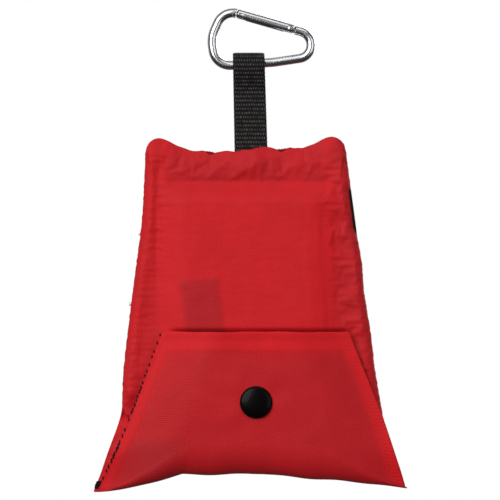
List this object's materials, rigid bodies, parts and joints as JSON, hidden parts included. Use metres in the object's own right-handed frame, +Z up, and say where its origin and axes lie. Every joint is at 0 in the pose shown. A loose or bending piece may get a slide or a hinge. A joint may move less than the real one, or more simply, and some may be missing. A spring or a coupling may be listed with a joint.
{
  "type": "snap pouch on a carabiner",
  "caption": "Flat cloth pouch with a folded-up snap flap, hung by a webbing loop from a small spring-gate carabiner, holding a folded bag.",
  "frame": {"origin": "the inner top of the carabiner's wide end, beside its nose, where a ring or rail carries it", "axes": "+Z up, +X to the right as seen from the front, front (flap and snap) faces -Y"},
  "size_m": [0.138, 0.0204, 0.2197],
  "materials": {
    "aluminium": "polished",
    "steel": "satin",
    "black_webbing": "matte",
    "black_thread": "matte",
    "red_cloth": "satin",
    "red_lining": "matte",
    "red_thread": "matte",
    "black_cap": "gloss"
  },
  "bodies": {
    "carabiner": {"carabiner_body": "aluminium", "gate_rivet": "steel"},
    "gate": {"gate_barrel": "aluminium", "gate_latch_pin": "steel", "gate_spring": "steel", "gate_plunger": "steel"},
    "strap": {"strap_webbing": "black_webbing"},
    "pouch": {"strap_tails": "black_webbing", "back_panel": "red_cloth", "front_panel": "red_cloth", "side_seam_left": "black_thread", "side_seam_right": "black_thread", "top_seam": "black_thread", "mouth_hem": "red_cloth", "mouth_hem_stitch": "red_thread", "folded_bag": "red_lining", "bag_handle": "black_webbing", "snap_stud": "steel", "snap_post": "steel"},
    "flap": {"flap_outer": "red_cloth", "flap_lining": "red_lining", "flap_hem": "red_cloth", "flap_overlock": "black_thread", "snap_cap": "black_cap", "snap_socket": "steel", "snap_socket_spring": "steel"}
  },
  "joints": [
    {"name": "gate_hinge", "type": "hinge", "parent": "carabiner", "child": "gate", "pos_m": [0.0273, 0, -0.0039], "axis": [0, -1, 0], "range_deg": [0, 28], "stiffness_Nm_per_rad": 0.06, "springref_deg": -22.92},
    {"name": "strap_swing", "type": "hinge", "parent": "carabiner", "child": "strap", "pos_m": [0.00915, 0, -0.0205], "axis": [1, 0, 0], "range_deg": [-90, 90]},
    {"name": "pouch_swing", "type": "hinge", "parent": "strap", "child": "pouch", "pos_m": [0.00915, 0, -0.06], "axis": [1, 0, 0], "range_deg": [-80, 80]},
    {"name": "flap_fold", "type": "hinge", "parent": "pouch", "child": "flap", "pos_m": [0.0095, 0, -0.21], "axis": [1, 0, 0], "range_deg": [0, 178]}
  ]
}
